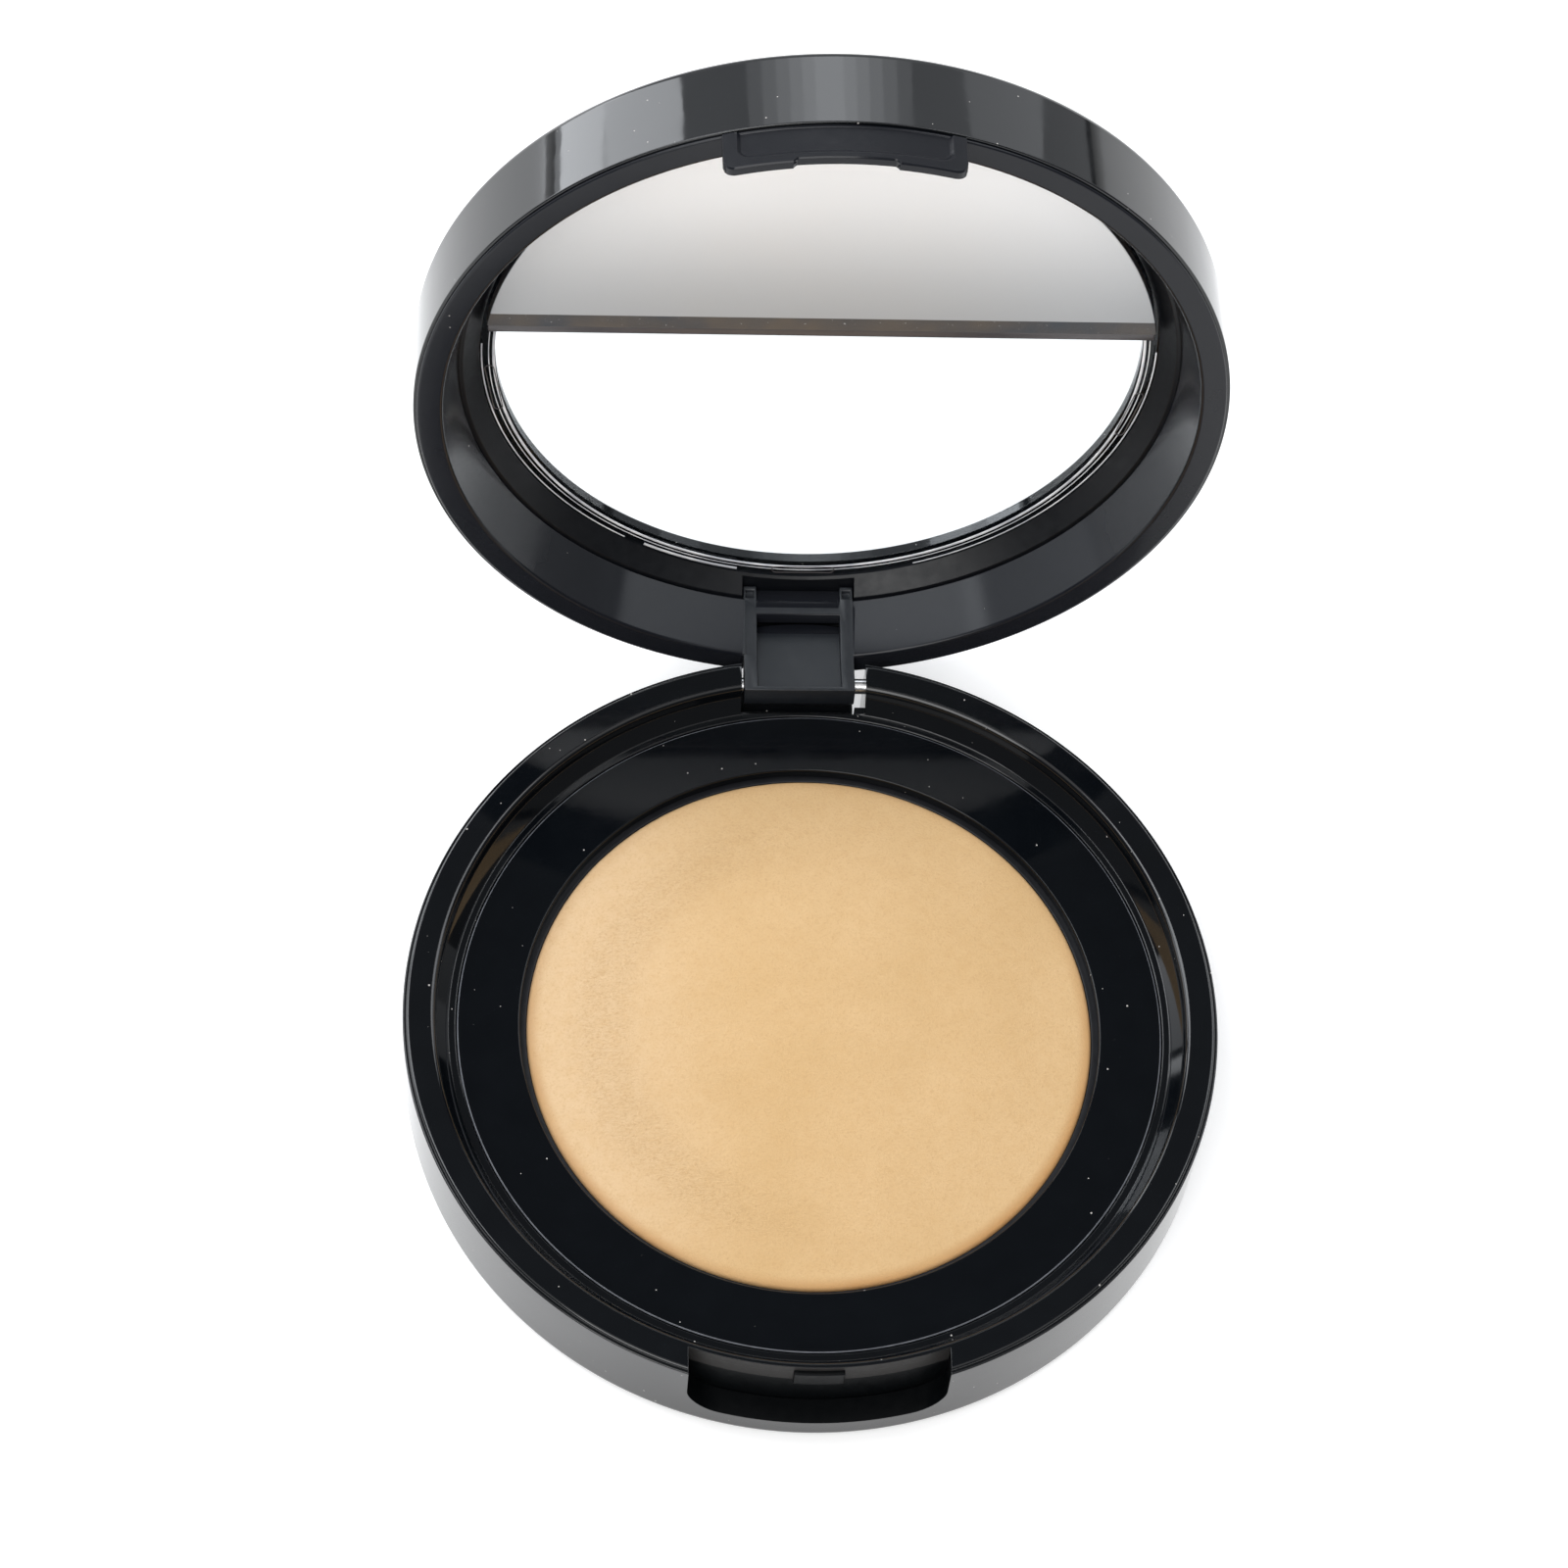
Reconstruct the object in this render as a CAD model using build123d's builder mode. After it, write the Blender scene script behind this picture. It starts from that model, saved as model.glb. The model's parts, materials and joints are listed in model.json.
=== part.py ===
from build123d import *
import os

# Round powder compact with a clear-windowed lid, drawn open. Millimetres.
# +Z is up, the base stands on z = 0 with its centre at the origin, the hinge
# is at +Y and the latch at -Y. The lid is drawn shut, then swung open.

# ---------------------------------------------------------------- dimensions
body_radius = 38.0
rim_radius = 37.7            # frames sit back from the shells by a fine step
lid_radius = 37.35           # the lid is a little smaller than the base
lid_rim_radius = 37.05
shell_wall = 1.3
base_height = 10.9
closed_gap = 0.2             # between the two rims when shut
lid_depth = 9.3
rim_lap = 0.3                # thickness of the frame lip over the shell wall
open_angle = 99.0

# base tray and powder
tray_mouth_radius = 35.0
tray_knee_radius = 34.9      # steep down to the knee, then a flatter slope to the foot
tray_knee_z = 9.5
tray_foot_radius = 33.8
tray_floor_z = 8.0
plate_radius = 33.0
plate_seat_radius = 33.1
plate_hole_radius = 27.15
plate_thickness = 1.1
pan_radius = 27.6
pan_height = 4.0
pan_wall = 1.1
pan_floor = 0.5
cake_edge_z = 7.0
cake_dome = 2.0
well_floor_z = 2.6
glue_thickness = 0.2
skirt_radius = 35.6

# latch
recess_half_width = 11.8
recess_floor_z = 3.5
recess_corner_radius = 3.0
catch_width = 4.6
catch_radius = 36.05
latch_half_width = 10.5
latch_inner_radius = 36.3
latch_outer_radius = 37.3
latch_length = 4.2

# hinge
hinge_y = 36.1
hinge_z = 8.7
barrel_radius = 1.75
pin_radius = 0.75
pin_clearance = 0.05
notch_half_width = 6.0
notch_front_y = 33.4
notch_floor_z = 5.5
slot_front_y = 34.15
link_min_x = -5.75
link_max_x = 4.95
heel_drop = 1.95             # squared heel of the link, below the hinge line when shut
lug_half_width = 9.0
rail_width = 1.3

# lid interior
lid_mouth_radius = 34.7
lid_step_radius = 33.2
lid_step_height = 5.8
liner_radius = 32.9
opening_radius = 29.95
window_flange_radius = 31.3
window_plug_radius = 29.85
mirror_radius = 31.1
mirror_thickness = 1.2
mirror_edge_y = -4.9
film_thickness = 0.1

lid_z = base_height + closed_gap
lid_top_z = lid_z + lid_depth
step_z = lid_z + lid_step_height
lap_z = base_height - rim_lap
plate_seat_z = tray_floor_z - plate_thickness
pan_floor_z = well_floor_z + glue_thickness
cake_floor_z = pan_floor_z + pan_floor
cake_radius = pan_radius - pan_wall
window_face_z = lid_top_z - 1.65
hinge_axis = Axis((0, hinge_y, hinge_z), (1, 0, 0))

os.makedirs("parts", exist_ok=True)


def curved_bar(inner_radius, outer_radius, bottom_z, top_z, half_width, side, mode=Mode.ADD):
    """Bar between two radii at the front or back, joined to or cut from the part in hand."""
    with BuildSketch(Plane.XY.offset(bottom_z)) as bar:
        Circle(outer_radius)
        Circle(inner_radius, mode=Mode.SUBTRACT)
        with Locations((0, side * outer_radius)):
            Rectangle(2 * half_width, outer_radius, mode=Mode.INTERSECT)
    extrude(bar.sketch, amount=top_z - bottom_z, mode=mode)


def block(min_corner, max_corner, mode=Mode.ADD):
    """Box given by two opposite corners, joined to or cut from the part in hand."""
    size = [high - low for low, high in zip(min_corner, max_corner)]
    centre = [(high + low) / 2 for low, high in zip(min_corner, max_corner)]
    with Locations(tuple(centre)):
        Box(*size, mode=mode)


def hinge_rod(radius, min_x, max_x, mode=Mode.ADD):
    """Cylinder on the hinge line, joined to or cut from the part in hand."""
    with Locations(Location(((min_x + max_x) / 2, hinge_y, hinge_z), (0, 90, 0))):
        Cylinder(radius, max_x - min_x, mode=mode)


# ------------------------------------------------------- cutters for the base
# Latch recess: rounded at its lower corners, open to the front and above.
with BuildPart() as recess_cut:
    with BuildSketch(Plane.XZ.offset(30)):
        with Locations((0, recess_floor_z + 10)):
            RectangleRounded(2 * recess_half_width, 20, recess_corner_radius)
    extrude(amount=12)
    Cylinder(skirt_radius, 60, mode=Mode.SUBTRACT)

# Hinge notch in the back of the base; beside the link it runs right through to the bottom.
with BuildPart() as notch_cut:
    block((-notch_half_width, notch_front_y, notch_floor_z), (link_max_x + 0.06, 42, 20))
    block((link_max_x + 0.05, slot_front_y, -1), (notch_half_width, 42, 20))

# Relief bevel behind the hinge line, so that the lid rim can swing past.
with BuildPart() as bevel_cut:
    with BuildSketch(Plane.YZ.offset(-12)):
        with BuildLine():
            Polyline((36.9, base_height), (40.5, base_height - 2.1), (40.5, 13), (36.9, 13), close=True)
        make_face()
    extrude(amount=24)

# ----------------------------------------------------------------- base_shell
with BuildPart() as base_shell:
    with BuildSketch(Plane.XZ):
        with BuildLine():
            Polyline(
                (0, 0.3), (28, 0.3), (28.3, 0), (body_radius, 0), (body_radius, lap_z),
                (body_radius - shell_wall, lap_z), (body_radius - shell_wall, 1.3), (0, 1.3),
                close=True,
            )
        make_face()
    revolve(axis=Axis.Z)
    fillet(base_shell.edges().filter_by(GeomType.CIRCLE).group_by(Axis.Z)[0].sort_by(SortBy.RADIUS)[-1:], 1.3)
    chamfer(base_shell.edges().filter_by(GeomType.CIRCLE).group_by(Axis.Z)[-1].sort_by(SortBy.RADIUS)[-1:], 0.1)
    # sill and cheeks round the latch recess
    curved_bar(skirt_radius + 0.05, 37.0, 1.0, lap_z, recess_half_width + 1.3, -1)
    add(recess_cut.part, mode=Mode.SUBTRACT)
    # hinge lugs on both sides of the notch
    block((-lug_half_width, 34.9, 1.0), (lug_half_width, 36.9, lap_z))
    add(notch_cut.part, mode=Mode.SUBTRACT)
    hinge_rod(pin_radius + 0.01, -8.7, 14, mode=Mode.SUBTRACT)
    add(bevel_cut.part, mode=Mode.SUBTRACT)

# ----------------------------------------------------------------- base_frame
with BuildPart() as base_frame:
    with BuildSketch(Plane.XZ):
        with BuildLine():
            Polyline(
                (0, 1.6), (28.8, 1.6), (28.8, 5.7), (34.6, 5.7), (34.6, 2.0), (skirt_radius, 2.0),
                (skirt_radius, 9.7), (36.65, 9.7), (36.65, lap_z), (rim_radius, lap_z),
                (rim_radius, base_height), (tray_mouth_radius, base_height),
                (tray_knee_radius, tray_knee_z), (tray_foot_radius, tray_floor_z),
                (plate_seat_radius, tray_floor_z),
                (plate_seat_radius, plate_seat_z), (pan_radius + 0.1, plate_seat_z),
                (pan_radius + 0.1, well_floor_z), (0, well_floor_z),
                close=True,
            )
        make_face()
    revolve(axis=Axis.Z)
    rim_edges = base_frame.edges().filter_by(GeomType.CIRCLE).group_by(Axis.Z)[-1]
    chamfer(rim_edges.sort_by(SortBy.RADIUS)[-1:], 0.15)
    fillet(rim_edges.sort_by(SortBy.RADIUS)[:1], 0.5)
    add(recess_cut.part, mode=Mode.SUBTRACT)
    curved_bar(skirt_radius, 36.8, 9.0, lap_z, recess_half_width + 1.4, -1, mode=Mode.SUBTRACT)
    # snap catch on the back wall of the recess
    curved_bar(skirt_radius - 0.3, catch_radius, 7.9, 10.2, catch_width / 2, -1)
    # room for the hinge lugs and the notch
    block((-lug_half_width - 0.2, 34.85, 0), (lug_half_width + 0.2, 42, lap_z), mode=Mode.SUBTRACT)
    add(notch_cut.part, mode=Mode.SUBTRACT)
    block((-notch_half_width, notch_front_y, tray_floor_z), (notch_half_width, 42, 20), mode=Mode.SUBTRACT)
    add(bevel_cut.part, mode=Mode.SUBTRACT)

# --------------------------------------------------------------- powder_plate
with BuildPart() as powder_plate:
    with BuildSketch(Plane.XY.offset(plate_seat_z)):
        Circle(plate_radius)
        Circle(plate_hole_radius, mode=Mode.SUBTRACT)
    extrude(amount=plate_thickness)
    plate_top_edges = powder_plate.edges().filter_by(GeomType.CIRCLE).group_by(Axis.Z)[-1]
    fillet(plate_top_edges, 0.15)

# ----------------------------------------------------------------- powder_pan
with BuildPart() as powder_pan:
    with BuildSketch(Plane.XZ):
        with BuildLine():
            Polyline(
                (0, pan_floor_z), (pan_radius - 0.8, pan_floor_z), (pan_radius, pan_floor_z + 0.8),
                (pan_radius, pan_floor_z + pan_height), (cake_radius, pan_floor_z + pan_height),
                (cake_radius, cake_floor_z), (0, cake_floor_z),
                close=True,
            )
        make_face()
    revolve(axis=Axis.Z)

# --------------------------------------------------------------- pan_adhesive
with BuildPart() as pan_adhesive:
    with BuildSketch(Plane.XY.offset(well_floor_z)):
        Circle(14)
    extrude(amount=glue_thickness)

# ---------------------------------------------------------------- powder_cake
dome_radius = (cake_radius**2 + cake_dome**2) / (2 * cake_dome)
with BuildPart() as powder_cake:
    with BuildSketch(Plane.XY.offset(cake_floor_z)):
        Circle(cake_radius)
    extrude(amount=cake_edge_z + cake_dome - cake_floor_z)
    with Locations((0, 0, cake_edge_z + cake_dome - dome_radius)):
        Sphere(dome_radius, mode=Mode.INTERSECT)
    fillet(powder_cake.edges().filter_by(lambda edge: edge.is_closed).sort_by(Axis.Z)[-1], 0.5)

# ------------------------------------------------------------------ hinge_pin
with BuildPart() as hinge_pin:
    hinge_rod(pin_radius, -8.65, 8.9)
    chamfer(hinge_pin.edges().filter_by(GeomType.CIRCLE), 0.15)

# ------------------------------------------------------------------ lid_shell
with BuildPart() as lid_shell:
    with BuildSketch(Plane.XZ):
        with BuildLine():
            Polyline(
                (lid_radius, lid_z + rim_lap), (lid_radius, lid_top_z), (opening_radius, lid_top_z),
                (opening_radius, lid_top_z - 1.1), (window_flange_radius + 0.1, lid_top_z - 1.1),
                (window_flange_radius + 0.1, window_face_z - 0.1), (liner_radius, step_z + 0.05),
                (liner_radius + 1.1, step_z + 0.05), (liner_radius + 1.1, lid_top_z - 1.3),
                (lid_radius - shell_wall, lid_top_z - 1.3), (lid_radius - shell_wall, lid_z + rim_lap),
                close=True,
            )
        make_face()
    revolve(axis=Axis.Z)
    shell_circles = lid_shell.edges().filter_by(GeomType.CIRCLE)
    fillet(shell_circles.group_by(Axis.Z)[-1].sort_by(SortBy.RADIUS)[-1:], 1.0)
    fillet(shell_circles.group_by(Axis.Z)[-1].sort_by(SortBy.RADIUS)[:1], 0.2)
    fillet(shell_circles.group_by(Axis.Z)[0].sort_by(SortBy.RADIUS)[-1:], 0.12)
    # room for the hinge rails inside the liner
    block(
        (link_min_x - 0.1, 30.8, step_z - 1), (link_max_x + 0.1, 34.05, step_z + 1.5), mode=Mode.SUBTRACT
    )

# ------------------------------------------------------------------ lid_frame
with BuildPart() as lid_frame:
    with BuildSketch(Plane.XZ):
        with BuildLine():
            Polyline(
                (lid_mouth_radius, lid_z), (lid_rim_radius, lid_z), (lid_rim_radius, lid_z + rim_lap),
                (36.0, lid_z + rim_lap), (36.0, lid_z + 2.9), (34.2, step_z), (lid_step_radius, step_z),
                close=True,
            )
        make_face()
    revolve(axis=Axis.Z)
    lid_rim_edges = lid_frame.edges().filter_by(GeomType.CIRCLE).group_by(Axis.Z)[0]
    fillet(lid_rim_edges.sort_by(SortBy.RADIUS)[-1:], 0.22)
    fillet(lid_rim_edges.sort_by(SortBy.RADIUS)[:1], 0.3)
    # hinge link: a channel section that ends in the knuckle
    with BuildSketch(Plane.YZ.offset(link_min_x)):
        with BuildLine():
            Polyline(
                (hinge_y - barrel_radius, hinge_z - heel_drop), (hinge_y - barrel_radius, lid_z), (32.75, step_z),
                (32.4, step_z + 1.3), (33.4, step_z + 1.3), (34.0, step_z - 0.2), (35.4, lid_z + 2.0),
                (35.4, lid_z + rim_lap), (36.5, lid_z + rim_lap - 0.1), (hinge_y + barrel_radius, hinge_z),
                (hinge_y + 0.27, hinge_z - barrel_radius + 0.03),
                close=True,
            )
        make_face()
    extrude(amount=link_max_x - link_min_x)
    hinge_rod(barrel_radius, link_min_x, link_max_x)
    block(
        (link_min_x + rail_width, 31.0, hinge_z - 1.4),
        (link_max_x - rail_width, hinge_y - barrel_radius + 0.55, lid_z + 4.2),
        mode=Mode.SUBTRACT,
    )
    block(
        (link_min_x + rail_width, 31.0, lid_z + 4.1),
        (link_max_x - rail_width, 33.0, step_z + 2),
        mode=Mode.SUBTRACT,
    )
    hinge_rod(pin_radius + pin_clearance, -7, 7, mode=Mode.SUBTRACT)
    # latch tab with a snap ridge, a notched lower edge and a shallow thumb pocket
    latch_tip_z = lid_z - latch_length
    curved_bar(latch_inner_radius, latch_outer_radius, latch_tip_z, lid_z + 0.1, latch_half_width, -1)
    curved_bar(catch_radius + 0.07, latch_inner_radius + 0.1, latch_tip_z + 0.1, latch_tip_z + 0.7, 2.2, -1)
    curved_bar(35.0, 39.0, latch_tip_z - 1.0, latch_tip_z + 0.35, 4.6, -1, mode=Mode.SUBTRACT)
    with BuildSketch(Plane.XZ.offset(30)):
        for side in (-1, 1):
            with Locations((side * latch_half_width, latch_tip_z)):
                Rectangle(2.4, 2.4)
            with Locations((side * (latch_half_width - 1.2), latch_tip_z + 1.2)):
                Circle(1.2, mode=Mode.SUBTRACT)
    extrude(amount=10, mode=Mode.SUBTRACT)
    curved_bar(latch_outer_radius - 0.35, 39.0, latch_tip_z + 1.1, lid_z, 9.3, -1, mode=Mode.SUBTRACT)

# --------------------------------------------------------------------- window
with BuildPart() as window:
    with BuildSketch(Plane.XZ):
        with BuildLine():
            Polyline(
                (0, window_face_z), (window_flange_radius, window_face_z),
                (window_flange_radius, lid_top_z - 1.15), (window_plug_radius, lid_top_z - 1.15),
                (window_plug_radius, lid_top_z), (0, lid_top_z),
                close=True,
            )
        make_face()
    revolve(axis=Axis.Z)
    fillet(window.edges().filter_by(GeomType.CIRCLE).group_by(Axis.Z)[-1], 0.2)
    # ledge that the straight edge of the mirror stands on
    with BuildSketch(Plane.XY.offset(window_face_z - 0.9)):
        Circle(mirror_radius)
        with Locations((0, mirror_edge_y + 0.7)):
            Rectangle(80, 1.2, mode=Mode.INTERSECT)
    extrude(amount=1.0)

# ----------------------------------------------------- mirror_film and mirror
with BuildPart() as mirror_film:
    with BuildSketch(Plane.XY.offset(window_face_z - film_thickness)):
        Circle(mirror_radius - 1.0)
        with Locations((0, 30 + mirror_edge_y - 0.8)):
            Rectangle(80, 60, mode=Mode.SUBTRACT)
    extrude(amount=film_thickness)

with BuildPart() as mirror:
    with BuildSketch(Plane.XY.offset(window_face_z - film_thickness - mirror_thickness)):
        Circle(mirror_radius)
        with Locations((0, 30 + mirror_edge_y)):
            Rectangle(80, 60, mode=Mode.SUBTRACT)
    extrude(amount=mirror_thickness)

# --------------------------------------------------------------------- export
base_pieces = {
    "base_shell": base_shell,
    "base_frame": base_frame,
    "powder_plate": powder_plate,
    "powder_pan": powder_pan,
    "pan_adhesive": pan_adhesive,
    "powder_cake": powder_cake,
    "hinge_pin": hinge_pin,
}
lid_pieces = {
    "lid_shell": lid_shell,
    "lid_frame": lid_frame,
    "window": window,
    "mirror_film": mirror_film,
    "mirror": mirror,
}

for name, piece in base_pieces.items():
    piece.part.label = name
    export_step(piece.part, f"parts/{name}.step")

for name, piece in lid_pieces.items():
    opened = piece.part.rotate(hinge_axis, -open_angle)
    opened.label = name
    export_step(opened, f"parts/{name}.step")
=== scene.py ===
import json
import math

import bmesh
import bpy
from mathutils import Matrix, Vector, noise


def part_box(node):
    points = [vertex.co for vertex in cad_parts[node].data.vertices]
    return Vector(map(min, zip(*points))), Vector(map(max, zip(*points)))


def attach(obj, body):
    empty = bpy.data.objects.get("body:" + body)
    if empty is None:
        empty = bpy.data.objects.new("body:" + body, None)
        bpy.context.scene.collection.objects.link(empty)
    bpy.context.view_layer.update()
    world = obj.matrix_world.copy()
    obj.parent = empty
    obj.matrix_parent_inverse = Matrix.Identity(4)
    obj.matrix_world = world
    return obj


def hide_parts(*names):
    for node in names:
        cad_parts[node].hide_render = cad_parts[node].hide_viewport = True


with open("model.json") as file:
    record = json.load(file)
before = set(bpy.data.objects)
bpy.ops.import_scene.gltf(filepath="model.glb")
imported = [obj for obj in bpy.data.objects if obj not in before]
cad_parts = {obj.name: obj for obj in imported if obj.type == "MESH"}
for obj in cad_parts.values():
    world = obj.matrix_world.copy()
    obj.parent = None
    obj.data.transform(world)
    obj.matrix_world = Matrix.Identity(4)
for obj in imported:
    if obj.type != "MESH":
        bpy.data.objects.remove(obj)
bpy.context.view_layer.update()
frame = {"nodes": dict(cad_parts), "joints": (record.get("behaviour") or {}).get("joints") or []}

# Looks of the powder compact. Lengths below are millimetres in the CAD frame and are turned into
# metres where a mesh is made. The lid's pieces are drawn shut, then opened about the CAD's hinge.
MM = 0.001
LATHE_STEPS = 480
ARC_STEPS = 5
ON_AXIS = 0.01             # a smaller radius counts as a point on the axis
HOLD = 0.04                # extra ring beside each rounding, so that flat faces stay flat when shaded
SHARP_ANGLE = math.radians(32)

# ------------------------------------------------------------------ sizes from the CAD frame
hinge = frame["joints"][0]
open_turn = math.radians(-hinge["range_deg"][0])
hinge_point = Vector(hinge["pos_m"])
opened = (
    Matrix.Translation(hinge_point)
    @ Matrix.Rotation(open_turn, 4, Vector(hinge["axis"]))
    @ Matrix.Translation(-hinge_point)
)
hinge_y, hinge_z = hinge_point.y / MM, hinge_point.z / MM

body_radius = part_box("base_shell")[1].x / MM
shell_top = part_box("base_shell")[1].z / MM
rim_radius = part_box("base_frame")[1].x / MM
rim_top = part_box("base_frame")[1].z / MM
plate_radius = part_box("powder_plate")[1].x / MM
plate_bottom, plate_top = (corner.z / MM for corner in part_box("powder_plate"))
pan_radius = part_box("powder_pan")[1].x / MM
pan_bottom, pan_top = (corner.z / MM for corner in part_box("powder_pan"))
cake_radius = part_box("powder_cake")[1].x / MM
cake_bottom, cake_top = (corner.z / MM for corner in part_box("powder_cake"))
window_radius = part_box("window")[1].x / MM
lid_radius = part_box("lid_shell")[1].x / MM
lid_rim_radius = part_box("lid_frame")[1].x / MM

# ------------------------------------------------------------------ sizes shared by several pieces
skirt_radius = 35.6                       # outside of the base frame's wall, inside the shell
recess_half_width = 11.8
recess_floor = 3.5
catch_clearance = 0.1                     # faces further outside the wall than this are the catch's
painted_band_height = 8.1                         # the wall behind the recess is painted greyer above this line, a painted reflection, and near-black below it, painted shade

above, behind = 20, 42                    # beyond the base, where the cutting blocks end
notch_half_width = 6.0
notch_front_y = 33.4

cake_edge_height = 7.0
cake_rounding = 0.35
ripple_room = 0.05                        # the smooth dome stays this far below the powder's top

lid_bottom = rim_top + 0.2                # the lid's rim when it is shut
lid_top = lid_bottom + 9.3
lap_top = lid_bottom + 0.3                # where the lid's shell meets the rim of its frame
step_height = lid_bottom + 5.8            # inner edge of the lid frame
liner_radius = 34.0

window_face = lid_top - 1.65
mirror_face = lid_top - 2.95
mirror_radius = 31.1
mirror_edge_y = -4.9

barrel_radius = 1.75
link_left, link_right = -5.75, 4.95
link_rail = 1.3                           # width of each rail of the hinge link
link_front_y = 31.0                       # in front of the whole link
panel_y = hinge_y - barrel_radius + 0.55  # sunk face between the rails
gate_bottom = lid_bottom + 4.1            # the rails stand free above it

tab_half_width = 10.5
tab_corner = 1.2


# ------------------------------------------------------------------ mesh tools
def new_object(name, bm):
    """Links a bmesh, drawn in millimetres, to the scene as an object in metres."""
    bmesh.ops.scale(bm, vec=(MM, MM, MM), verts=bm.verts)
    bmesh.ops.recalc_face_normals(bm, faces=bm.faces)
    mesh = bpy.data.meshes.new(name)
    bm.to_mesh(mesh)
    bm.free()
    obj = bpy.data.objects.new(name, mesh)
    bpy.context.scene.collection.objects.link(obj)
    return obj


def rounded(corners, steps=ARC_STEPS):
    """Closed outline through (a, b, rounding) corners, each turned into an arc of that radius."""
    points = []
    for index, (a, b, rounding) in enumerate(corners):
        corner = Vector((a, b))
        if rounding == 0:
            points.append(corner)
            continue
        before = (Vector(corners[index - 1][:2]) - corner).normalized()
        after = (Vector(corners[(index + 1) % len(corners)][:2]) - corner).normalized()
        half_angle = before.angle(after) / 2
        reach = rounding / math.tan(half_angle)
        centre = corner + (before + after).normalized() * (rounding / math.sin(half_angle))
        start, end = corner + before * reach, corner + after * reach
        points.append(start + before * HOLD)
        for step in range(steps + 1):
            spoke = start.lerp(end, step / steps) - centre
            points.append(centre + spoke.normalized() * rounding)
        points.append(end + after * HOLD)
    return points


def bridge(bm, ring, next_ring):
    """Faces between two closed rings of vertices; a ring of one vertex is a point on the axis."""
    if len(ring) == 1 and len(next_ring) == 1:
        return
    count = max(len(ring), len(next_ring))
    for index in range(count):
        following = (index + 1) % count
        if len(ring) == 1:
            bm.faces.new((ring[0], next_ring[following], next_ring[index]))
        elif len(next_ring) == 1:
            bm.faces.new((ring[index], ring[following], next_ring[0]))
        else:
            bm.faces.new((ring[index], ring[following], next_ring[following], next_ring[index]))


def lathe(name, corners):
    """Solid of revolution about Z from a closed outline of (radius, height, rounding) corners."""
    bm = bmesh.new()
    turns = [2 * math.pi * step / LATHE_STEPS for step in range(LATHE_STEPS)]
    rings = []
    for radius, height in rounded(corners):
        if radius < ON_AXIS:
            rings.append([bm.verts.new((0, 0, height))])
            continue
        rings.append([
            bm.verts.new((radius * math.sin(turn), -radius * math.cos(turn), height)) for turn in turns
        ])
    for ring, next_ring in zip(rings, rings[1:] + rings[:1]):
        bridge(bm, ring, next_ring)
    return new_object(name, bm)


def prism(name, outline, min_x, max_x):
    """Solid with a (y, z) outline, from min_x to max_x."""
    bm = bmesh.new()
    ends = [[bm.verts.new((x, y, z)) for y, z in outline] for x in (min_x, max_x)]
    bridge(bm, *ends)
    bm.faces.new(ends[0])
    bm.faces.new(ends[1])
    return new_object(name, bm)


def block(name, low, high):
    """Box between two corners."""
    outline = [(low[1], low[2]), (high[1], low[2]), (high[1], high[2]), (low[1], high[2])]
    return prism(name, outline, low[0], high[0])


def swept(name, columns, section):
    """Solid round the front of the Z axis: at each x, section(x) is a closed loop of (radius, height)."""
    bm = bmesh.new()
    loops = []
    for x in columns:
        loops.append([
            bm.verts.new((x, -math.sqrt(radius**2 - x**2), height)) for radius, height in section(x)
        ])
    for loop, next_loop in zip(loops, loops[1:]):
        bridge(bm, loop, next_loop)
    bm.faces.new(loops[0])
    bm.faces.new(loops[-1])
    return new_object(name, bm)


def settle(obj):
    """Applies the object's modifiers to its mesh."""
    graph = bpy.context.evaluated_depsgraph_get()
    mesh = bpy.data.meshes.new_from_object(obj.evaluated_get(graph))
    obj.modifiers.clear()
    obj.data = mesh


def combine(obj, tool, operation="DIFFERENCE"):
    """Cuts a tool out of an object, or joins it on, and removes the tool."""
    modifier = obj.modifiers.new("combine", "BOOLEAN")
    modifier.object = tool
    modifier.operation = operation
    modifier.solver = "EXACT"
    settle(obj)
    bpy.data.objects.remove(tool)


def soften(obj, width):
    """Rounds every sharp edge of a simple solid by a fine bevel."""
    bm = bmesh.new()
    bm.from_mesh(obj.data)
    bmesh.ops.remove_doubles(bm, verts=bm.verts, dist=0.002 * MM)
    edges = [
        edge for edge in bm.edges
        if len(edge.link_faces) == 2 and edge.calc_face_angle() > SHARP_ANGLE
    ]
    bmesh.ops.bevel(
        bm, geom=edges, offset=width * MM, segments=2, profile=0.5, affect="EDGES", clamp_overlap=True
    )
    bm.to_mesh(obj.data)
    bm.free()


def shade(obj):
    """Smooth shading, broken at sharp edges."""
    bm = bmesh.new()
    bm.from_mesh(obj.data)
    bmesh.ops.remove_doubles(bm, verts=bm.verts, dist=0.001 * MM)
    bmesh.ops.dissolve_degenerate(bm, edges=bm.edges, dist=0.001 * MM)
    for face in bm.faces:
        face.smooth = True
    for edge in bm.edges:
        edge.smooth = len(edge.link_faces) == 2 and edge.calc_face_angle() < SHARP_ANGLE
    bm.to_mesh(obj.data)
    bm.free()


def paint(obj, index, chosen):
    """Gives a material index to the faces whose middle, in millimetres, and normal are chosen."""
    for face in obj.data.polygons:
        if chosen(face.center / MM, face.normal):
            face.material_index = index


def spread(start, end, count):
    """count + 1 evenly spaced numbers from start to end."""
    return [start + (end - start) * index / count for index in range(count + 1)]


# ------------------------------------------------------------------ material tools
DUST = (0.42, 0.40, 0.38)
REFRACTION_CLEAR = 1.49


def new_material(name, **inputs):
    """A Principled material; inputs are its uniform values, by socket name with _ for spaces."""
    material = bpy.data.materials.new(name)
    material.use_nodes = True
    shader = material.node_tree.nodes["Principled BSDF"]
    for key, value in inputs.items():
        shader.inputs[key.replace("_", " ")].default_value = value
    return material, material.node_tree, shader


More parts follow.
